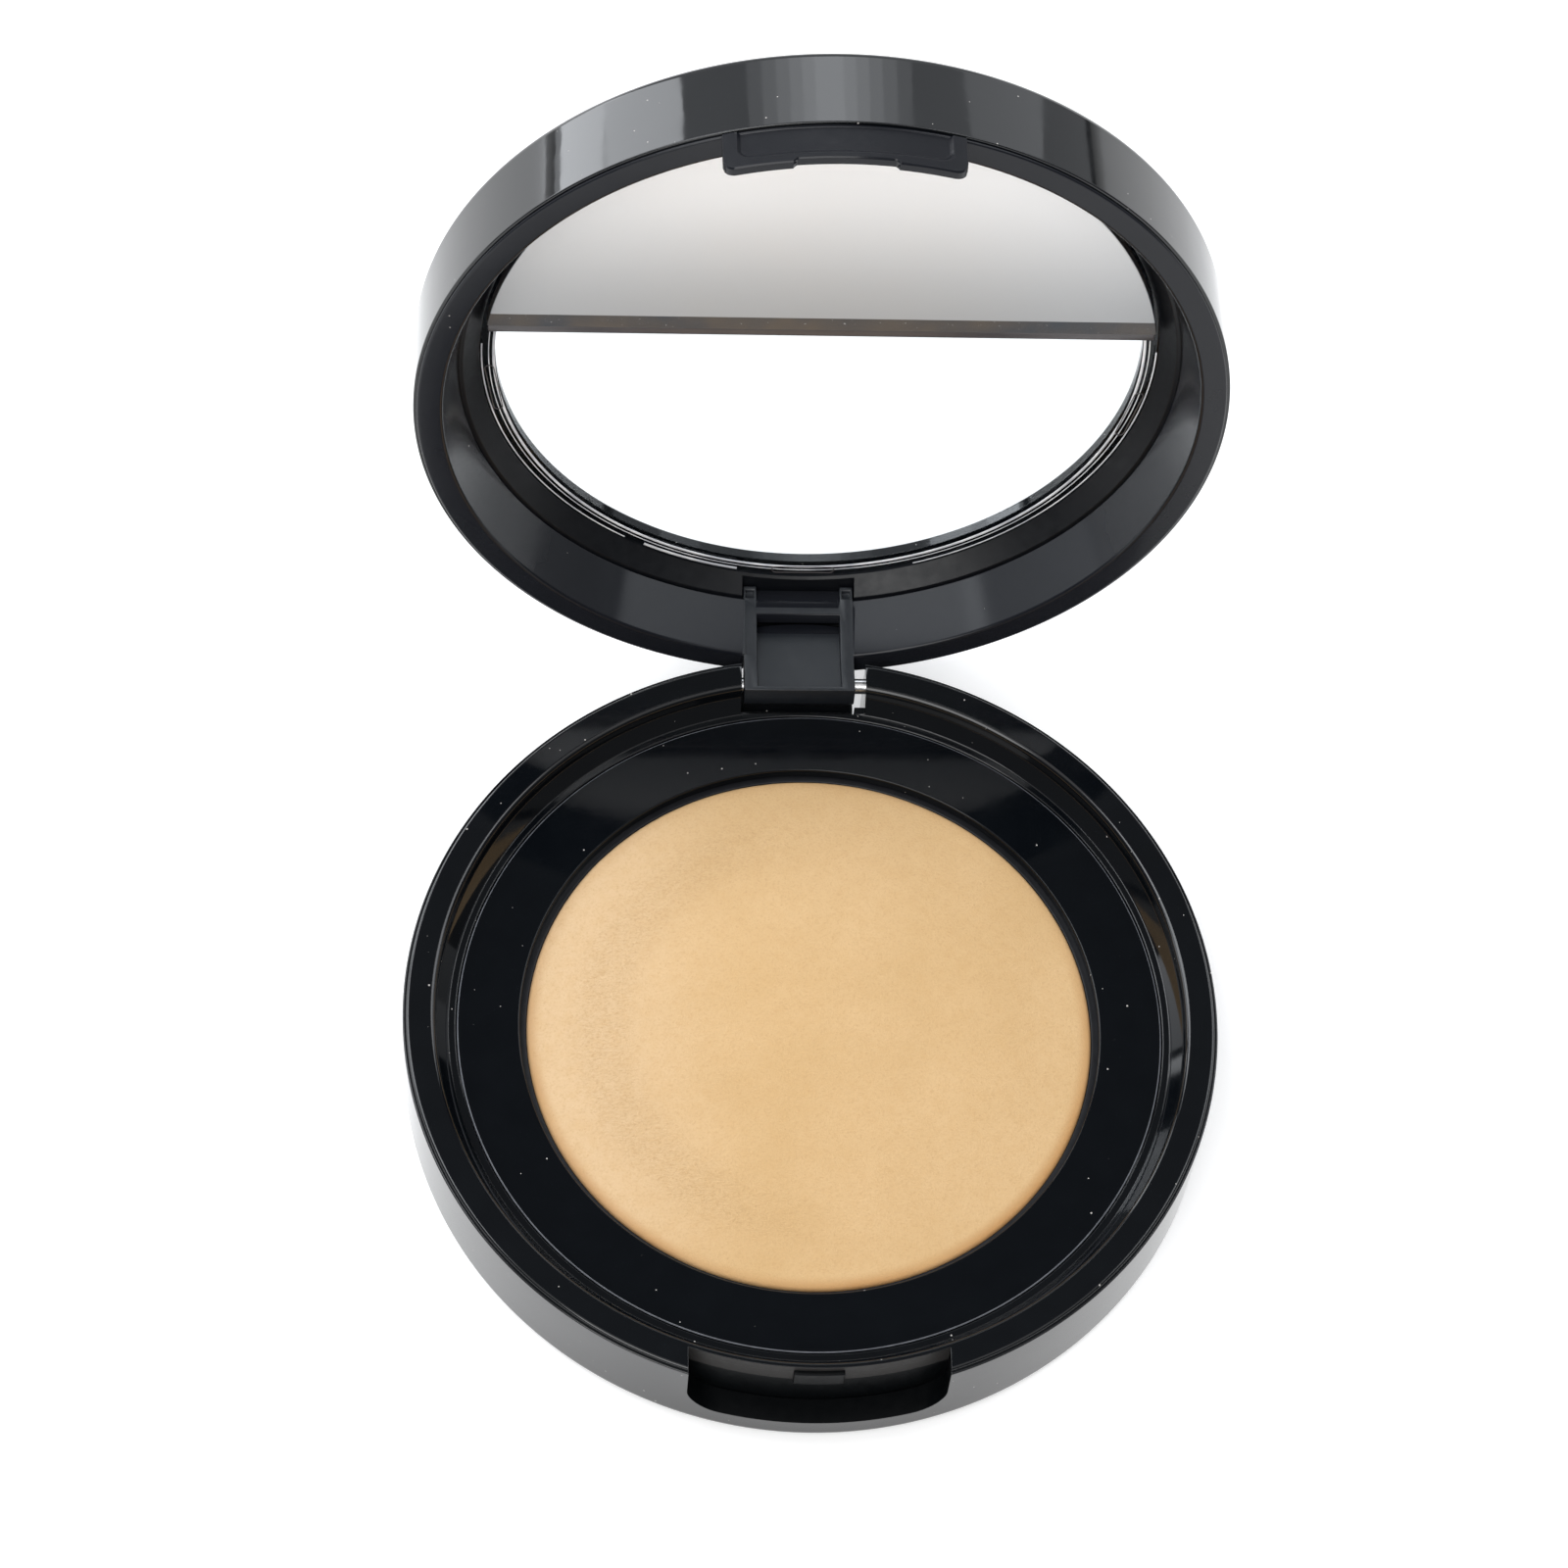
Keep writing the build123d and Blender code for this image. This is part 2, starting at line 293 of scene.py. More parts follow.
def node(tree, kind, **settings):
    """Adds a node; a setting is an attribute of the node, or else one of its inputs by name."""
    made = tree.nodes.new("ShaderNode" + kind)
    for key, value in settings.items():
        if hasattr(made, key):
            setattr(made, key, value)
        else:
            made.inputs[key.replace("_", " ")].default_value = value
    return made


def place(tree):
    """Output socket of the object coordinates, in metres in the CAD frame."""
    return node(tree, "TexCoord").outputs["Object"]


def noise_field(tree, coordinates, scale, detail=4.0, roughness=0.55):
    """Output socket of a noise texture of the given scale, in features per metre."""
    field = node(tree, "TexNoise", Scale=scale, Detail=detail, Roughness=roughness)
    tree.links.new(coordinates, field.inputs["Vector"])
    return field.outputs["Fac"]


def remap(tree, value, low, high, new_low, new_high, smooth=False):
    """Output socket of a value stretched from one range to another and held at its ends."""
    ranged = node(tree, "MapRange", interpolation_type="SMOOTHSTEP" if smooth else "LINEAR")
    tree.links.new(value, ranged.inputs["Value"])
    ends = (("From Min", low), ("From Max", high), ("To Min", new_low), ("To Max", new_high))
    for key, number in ends:
        ranged.inputs[key].default_value = number
    return ranged.outputs["Result"]


def calculate(tree, operation, first, second):
    """Output socket of an operation on two values, each a socket or a number."""
    made = node(tree, "Math", operation=operation)
    for index, value in enumerate((first, second)):
        if isinstance(value, (int, float)):
            made.inputs[index].default_value = value
        else:
            tree.links.new(value, made.inputs[index])
    return made.outputs[0]


def product(tree, *factors):
    """Output socket of several values multiplied together."""
    result = factors[0]
    for factor in factors[1:]:
        result = calculate(tree, "MULTIPLY", result, factor)
    return result


def mix_colours(tree, share, first, second):
    """Output socket of two colours mixed by share; a colour is a socket or three numbers."""
    made = node(tree, "Mix", data_type="RGBA")
    tree.links.new(share, made.inputs[0])
    for index, value in ((6, first), (7, second)):
        if isinstance(value, tuple):
            made.inputs[index].default_value = (*value, 1)
        else:
            tree.links.new(value, made.inputs[index])
    return made.outputs[2]


def bump(tree, shader, height, strength, distance, under=None):
    """Feeds a height to the shader's normal; under is a normal socket to build on."""
    made = node(tree, "Bump", Strength=strength, Distance=distance)
    tree.links.new(height, made.inputs["Height"])
    if under is not None:
        tree.links.new(under, made.inputs["Normal"])
    tree.links.new(made.outputs["Normal"], shader.inputs["Normal"])


def split_axes(tree, coordinates):
    """Output sockets of the x, y and z of some coordinates."""
    split = node(tree, "SeparateXYZ")
    tree.links.new(coordinates, split.inputs["Vector"])
    return split.outputs["X"], split.outputs["Y"], split.outputs["Z"]


def distance_from_axis(tree, x, y):
    """Output socket of the distance from the Z axis."""
    flat = node(tree, "CombineXYZ")
    tree.links.new(x, flat.inputs["X"])
    tree.links.new(y, flat.inputs["Y"])
    length = node(tree, "VectorMath", operation="LENGTH")
    tree.links.new(flat.outputs["Vector"], length.inputs[0])
    return length.outputs["Value"]


def dust_mask(tree, coordinates, scale, size):
    """Output socket that is 1 on scattered specks of dust."""
    cells = node(tree, "TexVoronoi", Scale=scale)
    tree.links.new(coordinates, cells.inputs["Vector"])
    separate = node(tree, "SeparateColor")
    tree.links.new(cells.outputs["Color"], separate.inputs["Color"])
    reach = remap(tree, separate.outputs["Red"], 0.55, 1.0, 0.0, size)
    return calculate(tree, "LESS_THAN", cells.outputs["Distance"], reach)


def gloss_black(name, shine=0.5):
    """High-gloss moulded plastic: faint moulding waver, handling haze and a little dust."""
    material, tree, shader = new_material(name, IOR=1.5, Specular_IOR_Level=shine)
    at = place(tree)
    haze = noise_field(tree, at, 260, detail=5.0)
    dust = dust_mask(tree, at, 900, 0.085)
    tint = mix_colours(tree, haze, (0.0018, 0.0024, 0.0034), (0.0032, 0.0042, 0.0056))
    tree.links.new(mix_colours(tree, dust, tint, DUST), shader.inputs["Base Color"])
    gloss = remap(tree, haze, 0.3, 0.75, 0.035, 0.085)
    roughness = calculate(tree, "MAXIMUM", gloss, product(tree, dust, 0.7))
    tree.links.new(roughness, shader.inputs["Roughness"])
    edges = node(tree, "Bevel", samples=4, Radius=0.1 * MM)
    bump(tree, shader, noise_field(tree, at, 180, detail=2.0), 0.05, 0.2 * MM, edges.outputs["Normal"])
    return material


def lid_black():
    """Gloss black of the lid's inner frame, a shade greyer and softer than the outside."""
    material, tree, shader = new_material("lid_black_plastic", IOR=1.5, Specular_IOR_Level=0.24)
    at = place(tree)
    haze = noise_field(tree, at, 300, detail=5.0)
    dust = dust_mask(tree, at, 620, 0.05)
    tint = mix_colours(tree, haze, (0.0075, 0.0085, 0.0115), (0.0105, 0.0115, 0.0150))
    tree.links.new(mix_colours(tree, dust, tint, DUST), shader.inputs["Base Color"])
    waver = noise_field(tree, at, 90, detail=1.0)
    tree.links.new(remap(tree, waver, 0.3, 0.7, 0.11, 0.16), shader.inputs["Roughness"])
    edges = node(tree, "Bevel", samples=4, Radius=0.1 * MM)
    bump(tree, shader, noise_field(tree, at, 180, detail=1.0), 0.012, 0.2 * MM, edges.outputs["Normal"])
    return material


def satin_black(name, dark, light, shine=0.5):
    """Satin black moulding, from its dark to its light tint."""
    material, tree, shader = new_material(name, IOR=1.5, Specular_IOR_Level=shine)
    at = place(tree)
    haze = noise_field(tree, at, 900, detail=6.0)
    tree.links.new(mix_colours(tree, haze, dark, light), shader.inputs["Base Color"])
    tree.links.new(remap(tree, haze, 0.3, 0.7, 0.34, 0.46), shader.inputs["Roughness"])
    edges = node(tree, "Bevel", samples=4, Radius=0.08 * MM)
    bump(tree, shader, noise_field(tree, at, 5200, detail=3.0), 0.08, 0.1 * MM, edges.outputs["Normal"])
    return material


def baked_powder():
    """Baked powder: warm tan, paler on the left, with a darker orange-brown rim of painted shade that is
    strongest at the front, a worn band and a fine grain.
    """
    material, tree, shader = new_material("baked_powder", Roughness=1.0, Specular_IOR_Level=0.15)
    at = place(tree)
    x, y, _ = split_axes(tree, at)
    distance = distance_from_axis(tree, x, y)

    broad = noise_field(tree, at, 70, detail=3.0)
    patches = remap(tree, broad, 0.35, 0.65, 0, 1)
    body = mix_colours(tree, patches, (0.545, 0.361, 0.178), (0.59, 0.40, 0.209))
    paler = remap(tree, x, -4 * MM, -22 * MM, 0, 1, smooth=True)
    body = mix_colours(tree, product(tree, paler, 0.8), body, (0.615, 0.442, 0.268))

    # Painted shade: the rim darkens where the edge dips under the plate, most at the front.
    rim = remap(tree, distance, 25.0 * MM, 26.4 * MM, 0, 1, smooth=True)
    near_front = remap(tree, y, 14 * MM, -10 * MM, 0.25, 1, smooth=True)
    rim_shade_share = product(tree, rim, near_front, remap(tree, broad, 0.3, 0.7, 0.35, 0.9))
    body = mix_colours(tree, rim_shade_share, body, (0.40, 0.195, 0.065))
    fine = noise_field(tree, at, 900, detail=6.0, roughness=0.7)
    body = mix_colours(tree, remap(tree, fine, 0.42, 0.75, 0, 0.35), body, (0.51, 0.315, 0.137))

    stretch = node(tree, "Mapping", Scale=(0.6, 1, 1))
    tree.links.new(at, stretch.inputs["Vector"])
    drags = noise_field(tree, stretch.outputs["Vector"], 4400, detail=4.0, roughness=0.7)
    inner_side = remap(tree, distance, 15.0 * MM, 18.5 * MM, 0, 1, smooth=True)
    outer_side = remap(tree, distance, 24.0 * MM, 20.5 * MM, 0, 1, smooth=True)
    on_left = remap(tree, x, 4 * MM, -12 * MM, 0.15, 1, smooth=True)
    worn = product(tree, inner_side, outer_side, on_left)
    pits = product(tree, remap(tree, drags, 0.48, 0.66, 0, 0.42), worn)
    body = mix_colours(tree, pits, body, (0.43, 0.265, 0.123))

    grain = noise_field(tree, at, 4200, detail=5.0, roughness=0.65)
    body = mix_colours(tree, remap(tree, grain, 0.50, 0.72, 0, 0.5), body, (0.45, 0.283, 0.135))
    tree.links.new(body, shader.inputs["Base Color"])
    depth = product(tree, worn, 2.2)
    relief = calculate(tree, "ADD", grain, product(tree, drags, depth))
    bump(tree, shader, relief, 0.6, 0.09 * MM)
    return material


def clear_plastic():
    """Polished clear plastic, too thin to bend what is behind it: see-through, glossy at its faces."""
    material, tree, shader = new_material(
        "clear_plastic", IOR=REFRACTION_CLEAR, Base_Color=(0.02, 0.022, 0.025, 1)
    )
    polish = noise_field(tree, place(tree), 300)
    tree.links.new(remap(tree, polish, 0.3, 0.8, 0.01, 0.04), shader.inputs["Roughness"])
    through = node(tree, "BsdfTransparent", Color=(0.95, 0.96, 0.965, 1))
    edge_on = node(tree, "Fresnel", IOR=REFRACTION_CLEAR)
    surface = node(tree, "NewGeometry")
    entering = calculate(tree, "SUBTRACT", 1.0, surface.outputs["Backfacing"])
    mixed = node(tree, "MixShader")
    tree.links.new(product(tree, edge_on.outputs["Fac"], entering), mixed.inputs["Fac"])
    tree.links.new(through.outputs["BSDF"], mixed.inputs[1])
    tree.links.new(shader.outputs["BSDF"], mixed.inputs[2])
    tree.links.new(mixed.outputs["Shader"], tree.nodes["Material Output"].inputs["Surface"])
    return material


def silvered_glass():
    """Mirror drawn hazy, with a painted reflection that grows brighter towards its top: it gives back
    light but no clear picture.
    """
    material, tree, shader = new_material("silvered_glass", Metallic=0.5)
    at = place(tree)
    height = split_axes(tree, at)[2]
    # Painted reflection: the mirror's colour runs from grey at its bottom to white at its top.
    painted_reflection_share = remap(tree, height, 47 * MM, 72 * MM, 0, 1, smooth=True)
    tint = mix_colours(tree, painted_reflection_share, (0.47, 0.485, 0.50), (1.0, 1.0, 1.0))
    tree.links.new(tint, shader.inputs["Base Color"])
    haze = remap(tree, noise_field(tree, at, 120), 0.3, 0.7, 0.50, 0.56)
    tree.links.new(haze, shader.inputs["Roughness"])
    return material


def ground_edge():
    """Ground glass edge of the mirror as seen through its face and mirrored in its silvering, a painted
    reflection: grey, with bright chips painted as glints.
    """
    material, tree, shader = new_material("ground_glass_edge", IOR=1.5, Roughness=0.3)
    at = place(tree)
    chips_and_glints = noise_field(tree, at, 2600, detail=5.0, roughness=0.7)
    cloud = remap(tree, noise_field(tree, at, 160, detail=2.0), 0.35, 0.65, 0, 1)
    grey = mix_colours(tree, cloud, (0.050, 0.058, 0.070), (0.10, 0.085, 0.072))
    # Painted glints: the highest chips are painted near-white.
    edge_with_glints = mix_colours(tree, remap(tree, chips_and_glints, 0.66, 0.74, 0, 1), grey, (0.85, 0.87, 0.9))
    tree.links.new(edge_with_glints, shader.inputs["Base Color"])
    bump(tree, shader, chips_and_glints, 0.4, 0.1 * MM)
    return material


def painted_ledge_light():
    """Clear plastic of the ledge, painted the mauve-grey it shows when lit from the side: painted light.
    """
    material, tree, shader = new_material("ledge_painted_light", IOR=REFRACTION_CLEAR, Roughness=0.25)
    at = place(tree)
    cloud = noise_field(tree, at, 220, detail=3.0)
    # Painted light: the mauve-grey of side-lit clear plastic.
    tint = mix_colours(tree, cloud, (0.060, 0.054, 0.056), (0.095, 0.086, 0.088))
    tree.links.new(tint, shader.inputs["Base Color"])
    bump(tree, shader, noise_field(tree, at, 1800), 0.1, 0.1 * MM)
    return material


def painted_rib_highlight():
    """Edges of the clear plastic, which gather light, painted white: a painted highlight."""
    material, tree, shader = new_material("rib_painted_highlight_plastic", IOR=REFRACTION_CLEAR, Roughness=0.25)
    cloud = remap(tree, noise_field(tree, place(tree), 260, detail=3.0), 0.35, 0.65, 0, 1)
    # Painted highlight: grey to near-white.
    tint = mix_colours(tree, cloud, (0.50, 0.51, 0.55), (0.97, 0.97, 0.98))
    tree.links.new(tint, shader.inputs["Base Color"])
    return material


def steel():
    """Drawn steel of the hinge pin, with fine lines along it."""
    material, tree, shader = new_material("drawn_steel", Metallic=1.0)
    stretch = node(tree, "Mapping", Scale=(0.04, 1, 1))
    tree.links.new(place(tree), stretch.inputs["Vector"])
    lines = noise_field(tree, stretch.outputs["Vector"], 9000, detail=3.0)
    tint = mix_colours(tree, lines, (0.55, 0.55, 0.56), (0.72, 0.72, 0.73))
    tree.links.new(tint, shader.inputs["Base Color"])
    tree.links.new(remap(tree, lines, 0.3, 0.7, 0.18, 0.3), shader.inputs["Roughness"])
    return material


def glue():
    """Pale rubbery glue."""
    material, tree, shader = new_material("glue", Roughness=0.6)
    cloud = noise_field(tree, place(tree), 600)
    tint = mix_colours(tree, cloud, (0.30, 0.29, 0.27), (0.36, 0.35, 0.33))
    tree.links.new(tint, shader.inputs["Base Color"])
    return material


# ------------------------------------------------------------------ base
def recess_cutter():
    """Front recess with rounded lower corners, whose back follows the base frame's wall."""
    corner, top, front = 3.0, 14.0, -42.0
    back_radius = skirt_radius + 0.02
    straight = recess_half_width - corner
    turns = spread(0, math.pi / 2, 10)
    columns = [straight + corner * math.sin(turn) for turn in turns]
    columns = [-x for x in reversed(columns)] + spread(-straight, straight, 40)[1:-1] + columns
    bm = bmesh.new()
    loops = []
    for x in columns:
        over = max(0.0, abs(x) - straight)
        low = recess_floor + corner - math.sqrt(max(0.0, corner**2 - over**2))
        back = -math.sqrt(back_radius**2 - x**2)
        section = ((front, low), (front, top), (back, top), (back, low))
        loops.append([bm.verts.new((x, y, z)) for y, z in section])
    for loop, next_loop in zip(loops, loops[1:]):
        bridge(bm, loop, next_loop)
    bm.faces.new(loops[0])
    bm.faces.new(loops[-1])
    return new_object("recess_cutter", bm)


def cut_notch(obj):
    """Cuts the hinge notch: closed below the knuckle, right through beside the link."""
    notch_floor, slot_front_y, below = 5.5, 34.15, -1
    notch_low = (-notch_half_width, notch_front_y, notch_floor)
    combine(obj, block("notch", notch_low, (link_right + 0.06, behind, above)))
    slot_low = (link_right + 0.05, slot_front_y, below)
    combine(obj, block("notch_slot", slot_low, (notch_half_width, behind, above)))


def bevel_cutter():
    """Sloping relief behind the hinge line."""
    near, far, drop, top, half_width = 36.9, 40.5, 2.1, 13, 12
    outline = [(near, rim_top), (far, rim_top - drop), (far, top), (near, top)]
    return prism("bevel_cutter", outline, -half_width, half_width)


def make_base_shell():
    """Outer cup of the base: wall, floor and hinge lugs; material 1, a near-black painted shade, inside
    the thumb recess.
    """
    inner, floor_top = skirt_radius + 0.05, 1.35
    foot_radius, foot_rise = 28, 0.3
    shell = lathe("base_shell_body", [
        (0, foot_rise, 0), (foot_radius, foot_rise, 0), (foot_radius + 0.3, 0, 0),
        (body_radius, 0, 1.3), (body_radius, shell_top, 0.12),
        (inner, shell_top, 0), (inner, floor_top, 0), (0, floor_top, 0),
    ])
    combine(shell, block("lugs", (-9, 34.9, 1.2), (9, 36.9, shell_top - 0.02)), "UNION")
    combine(shell, recess_cutter())
    cut_notch(shell)
    combine(shell, bevel_cutter())

    def in_recess(middle, normal):
        outward = Vector((middle.x, middle.y, 0)).normalized().dot(normal)
        across = middle.y < -33 and abs(middle.x) < recess_half_width + 0.05
        return across and middle.z > recess_floor - 0.1 and outward < 0.9

    paint(shell, 1, in_recess)
    return shell


def make_catch():
    """Catch of the latch: a small block on the frame's wall, in the thumb recess."""
    low, high, half_width, rounding = 7.9, 10.2, 2.3, 0.15
    root_radius, front_radius = skirt_radius - 0.3, 36.05
    outline = rounded([
        (root_radius, low, 0), (front_radius, low, rounding),
        (front_radius, high, rounding), (root_radius, high, 0),
    ], steps=3)
    catch = swept("catch", spread(-half_width, half_width, 12), lambda x: outline)
    soften(catch, 0.12)
    return catch


def make_base_frame():
    """Upper frame of the base, from its rim down to the powder's well, with the catch."""
    floor_bottom, floor_top, well_radius = 1.6, 2.6, 28.8
    skirt_bottom, skirt_inner, web_height = 2.0, 34.6, 5.7
    rim_bottom, rim_step = 9.7, 36.65
    seat = plate_radius + 0.1
    well = pan_radius + 0.1
    frame_body = lathe("base_frame_body", [
        (0, floor_bottom, 0), (well_radius, floor_bottom, 0), (well_radius, web_height, 0),
        (skirt_inner, web_height, 0), (skirt_inner, skirt_bottom, 0), (skirt_radius, skirt_bottom, 0),
        (skirt_radius, painted_band_height, 0), (skirt_radius, rim_bottom, 0),
        (rim_step, rim_bottom, 0), (rim_step, shell_top, 0), (rim_radius, shell_top, 0),
        (rim_radius, rim_top, 0.26), (35.0, rim_top, 0.5), (34.9, 9.5, 0.3), (33.8, plate_top, 0.12),
        (seat, plate_top, 0.12), (seat, plate_bottom, 0),
        (well, plate_bottom, 0), (well, floor_top, 0), (0, floor_top, 0),
    ])
    combine(frame_body, recess_cutter())
    combine(frame_body, block("lug_room", (-9.2, 34.85, 0), (9.2, behind, shell_top)))
    cut_notch(frame_body)
    front_low = (-notch_half_width, notch_front_y, plate_top)
    combine(frame_body, block("notch_front", front_low, (notch_half_width, behind, above)))
    combine(frame_body, bevel_cutter())
    combine(frame_body, make_catch(), "UNION")

    def in_recess(middle, normal):
        across = middle.y < -33 and abs(middle.x) < recess_half_width + 0.1
        return across and middle.xy.length > skirt_radius - 0.1 and middle.z < rim_top - 0.05

    def on_painted_reflection(middle, normal):
        on_wall = middle.xy.length <= skirt_radius + catch_clearance
        return in_recess(middle, normal) and on_wall and middle.z > painted_band_height

    # Painted shade in the thumb recess (material 1), and a greyer painted reflection (material 2) on its
    # wall above the painted line.
    paint(frame_body, 1, in_recess)
    paint(frame_body, 2, on_painted_reflection)
    return frame_body


def make_plate():
    """Flat ring round the powder; material 1, a painted highlight, on the rounding of its outer edge,
    along the gap.
    """
    hole_radius, outer_rounding, hole_rounding = 27.15, 0.12, 0.15
    plate = lathe("powder_plate_ring", [
        (hole_radius, plate_bottom, 0), (plate_radius, plate_bottom, 0),
        (plate_radius, plate_top, outer_rounding), (hole_radius, plate_top, hole_rounding),
    ])

    def on_outer_rounding(middle, normal):
        return middle.xy.length > plate_radius - outer_rounding and 0.3 < normal.z < 0.995

    paint(plate, 1, on_outer_rounding)
    return plate


def make_pan():
    """Dish that holds the powder; only its lip is seen."""
    heel, floor_top = 0.8, pan_bottom + 0.5
    inner = pan_radius - 1.1
    return lathe("powder_pan_dish", [
        (0, pan_bottom, 0), (pan_radius - heel, pan_bottom, 0), (pan_radius, pan_bottom + heel, 0),
        (pan_radius, pan_top, 0.1), (inner, pan_top, 0.15), (inner, floor_top, 0), (0, floor_top, 0),
    ])


def held(value):
    """A number held between 0 and 1."""
    return min(1.0, max(0.0, value))


def ripple_height(x, y, radius):
    """Small relief of the powder's face at a point: a swell, and drags and crumbs near the left edge."""
    at = Vector((x, y, 0))
    drag = noise.noise(Vector((x * 0.12, y * 2.3, 3.0)))
    crumbs = max(0.0, noise.noise(at * 1.6 + Vector((7, 3, 1))) - 0.25)
    near_left = held((-x - 3) / 16) * held((radius - 14) / 10)
    swell = 0.05 * noise.noise(at * 0.14)
    return swell + near_left * (0.035 * drag + 0.2 * crumbs) + 0.006 * noise.noise(at * 3.1)


def cake_height(radius):
    """Height of the powder's face before its ripples: a dome with a turned-down edge."""
    rise = cake_top - cake_edge_height
    dome_radius = (cake_radius**2 + rise**2) / (2 * rise)
    height = cake_top - ripple_room - dome_radius + math.sqrt(dome_radius**2 - radius**2)
    over = max(0.0, radius - (cake_radius - cake_rounding))
    return height - (cake_rounding - math.sqrt(max(0.0, cake_rounding**2 - over**2)))


def make_cake():
    """Domed powder with low ripples, from the middle of its face down to its flat bottom."""
    steps = 420
    radii = spread(0.0, cake_radius - cake_rounding, 96)[1:]
    edge_turns = spread(0, math.pi / 2, 6)[1:]
    radii += [cake_radius - cake_rounding * (1 - math.sin(turn)) for turn in edge_turns]
    bm = bmesh.new()
    rings = [[bm.verts.new((0, 0, cake_top - ripple_room))]]
    for radius in radii:
        height = cake_height(radius)
        ring = []
        for step in range(steps):
            turn = 2 * math.pi * step / steps
            x, y = radius * math.sin(turn), -radius * math.cos(turn)
            ring.append(bm.verts.new((x, y, height + ripple_height(x, y, radius))))
        rings.append(ring)
    for height in (cake_bottom + 0.3, cake_bottom):
        rings.append([bm.verts.new((vertex.co.x, vertex.co.y, height)) for vertex in rings[-1]])
    rings.append([bm.verts.new((0, 0, cake_bottom))])
    for ring, next_ring in zip(rings, rings[1:]):
        bridge(bm, ring, next_ring)
    return new_object("powder_cake_dome", bm)


# ------------------------------------------------------------------ lid, drawn shut
def make_lid_shell():
    """Outer ring of the lid round the window; material 1, a near-black painted shade, on the liner step
    inside it.
    """
    opening, seat_radius, liner_edge, wall_inner = 29.95, 31.4, 32.9, 36.05
    seat_height, hollow_top, liner_height = lid_top - 1.1, lid_top - 1.3, step_height + 0.05
    shell = lathe("lid_shell_body", [
        (lid_radius, lap_top, 0.12), (lid_radius, lid_top, 1.0), (opening, lid_top, 0.2),
        (opening, seat_height, 0), (seat_radius, seat_height, 0), (seat_radius, window_face - 0.1, 0),
        (liner_edge, liner_height, 0.1), (liner_radius, liner_height, 0), (liner_radius, hollow_top, 0),
        (wall_inner, hollow_top, 0), (wall_inner, lap_top, 0),
    ])
    room_low = (link_left - 0.1, 30.8, step_height - 1)
    room_high = (link_right + 0.1, liner_radius + 0.05, step_height + 1.5)
    combine(shell, block("rail_room", room_low, room_high))

    def on_liner(middle, normal):
        return middle.xy.length < liner_radius + 0.1 and middle.z < window_face + 0.5

    paint(shell, 1, on_liner)
    return shell


def link_outline():
    """Side view of the hinge link: knuckle with a squared heel below, channel section above."""
    rail_top = step_height + 1.3
    knuckle = [
        (hinge_y + barrel_radius * math.cos(turn), hinge_z - barrel_radius * math.sin(turn))
        for turn in spread(0, math.radians(81), 14)
    ]
    heel = [(hinge_y - barrel_radius, hinge_z - 1.95), (hinge_y - barrel_radius, lid_bottom)]
    rails = [(32.75, step_height), (32.4, rail_top), (33.4, rail_top)]
    back = [(34.0, step_height - 0.2), (35.4, lid_bottom + 2.0), (35.4, lap_top), (36.5, lap_top - 0.1)]
    return knuckle + heel + rails + back


def make_link():
    """Hinge link: two rails with a sunk panel between them and a bar below it."""
    inner_left, inner_right = link_left + link_rail, link_right - link_rail
    link = prism("link", link_outline(), link_left, link_right)
    channel_low = (inner_left, link_front_y, hinge_z - 1.4)
    combine(link, block("channel", channel_low, (inner_right, panel_y, gate_bottom + 0.1)))
    gate_low = (inner_left, link_front_y, gate_bottom)
    combine(link, block("gate", gate_low, (inner_right, 33, step_height + 2)))
    for rail_x in (link_left + link_rail / 2, link_right - link_rail / 2):
        pit_low = (rail_x - 0.4, 32, step_height + 0.1)
        combine(link, block("pit", pit_low, (rail_x + 0.4, 32.95, step_height + 0.9)))
    soften(link, 0.1)
    return link


def pocket_share(x, height):
    """How deep the thumb pocket is at a point of the tab's outside: 0 outside it, 1 on its floor."""
    half_width, low, corner, ramp = 9.4, lid_bottom - 3.2, 1.4, 0.5
    beside = max(0.0, abs(x) - (half_width - corner))
    below = max(0.0, low + corner - height)
    share = held((corner - math.hypot(beside, below)) / ramp)
    return share * share * (3 - 2 * share)


def tab_section(x):
    """Closed (radius, height) loop of the latch tab at x: snap ridge inside, thumb pocket outside."""
    inner_radius, outer_radius, tip_inner, tip_outer = 36.3, 37.3, 36.45, 37.15
    tip_notch_half_width, notch_ramp, notch_depth = 4.3, 0.25, 0.35
    ridge_half_width, ridge_ramp, ridge_depth = 2.4, 0.3, 0.17
    ridge_drop, ridge_spread = 3.8, 0.3
    pocket_depth = 0.35
    top = lid_bottom + 0.15
    tip = lid_bottom - 4.2
    over = max(0.0, abs(x) - (tab_half_width - tab_corner))
    tip += tab_corner - math.sqrt(max(0.0, tab_corner**2 - over**2))
    tip += notch_depth * held((tip_notch_half_width + notch_ramp - abs(x)) / notch_ramp)
    ridge_share = held((ridge_half_width - abs(x)) / ridge_ramp)
    inner, outer = [], []
    for share in spread(0, 1, 14):
        height = top + (tip + 0.15 - top) * share
        ridge = 0.0
        if height > tip + 0.2:
            ridge = math.exp(-((height - lid_bottom + ridge_drop) / ridge_spread) ** 2)
        inner.append((inner_radius - ridge_depth * ridge * ridge_share, height))
    for share in spread(1, 0, 40):
        height = top + (tip + 0.15 - top) * share
        outer.append((outer_radius - pocket_depth * pocket_share(x, height), height))
    return inner + [(tip_inner, tip), (tip_outer, tip)] + outer


def make_tab():
    """Latch tab at the front of the lid frame, with closer columns at its rounded corners."""
    straight = tab_half_width - tab_corner
    left_corner = spread(-tab_half_width, -straight, 8)
    right_corner = spread(straight, tab_half_width, 8)
    columns = left_corner + spread(-straight, straight, 110)[1:-1] + right_corner
    return swept("latch_tab", columns, tab_section)


